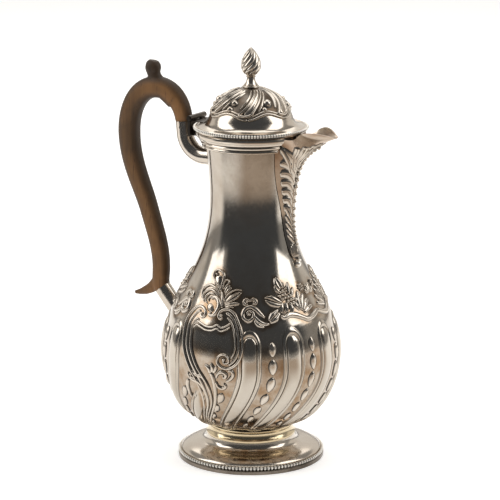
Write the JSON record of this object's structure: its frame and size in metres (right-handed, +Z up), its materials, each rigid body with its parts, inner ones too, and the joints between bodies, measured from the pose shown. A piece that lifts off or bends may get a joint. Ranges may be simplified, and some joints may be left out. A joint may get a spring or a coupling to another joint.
{
  "type": "coffee pot",
  "caption": "Baluster coffee pot in chased silver on a spreading foot, with a V-shaped spout, hinged domed lid and carved wooden scroll handle.",
  "frame": {"origin": "centre of the foot's underside, on the pot's axis", "axes": "+Z up along the pot's axis, +X towards the spout's lip, -X towards the handle"},
  "size_m": [0.1732, 0.124, 0.2855],
  "materials": {
    "silver": "polished with fine scratches and light tarnish",
    "chased_silver": "chased relief, bright on the high parts and dark in the hollows",
    "gilt_silver": "warm toned, worn bright",
    "fruitwood": "dark stained, satin, worn"
  },
  "bodies": {
    "pot": {"foot": "silver", "foot_bead_wire": "chased_silver", "foot_base_wire": "silver", "foot_collar": "gilt_silver", "body": "silver", "mouth_moulding": "silver", "spout": "silver", "spout_leaf_left": "chased_silver", "spout_leaf_right": "chased_silver", "spout_pellet": "silver", "upper_socket": "silver", "lower_socket": "silver", "handle": "fruitwood", "upper_handle_pin": "silver", "lower_handle_pin": "silver", "hinge_bracket": "silver", "hinge_pin": "silver"},
    "lid": {"lid_hinge_leaf": "silver", "lid_dome": "chased_silver", "lid_bezel": "silver", "lid_bead_wire": "chased_silver", "finial": "chased_silver", "finial_stud": "silver", "finial_nut": "silver"}
  },
  "joints": [
    {"name": "lid_hinge", "type": "hinge", "parent": "pot", "child": "lid", "pos_m": [-0.0435, 0, 0.2343], "axis": [0, -1, 0], "range_deg": [0, 85]}
  ]
}
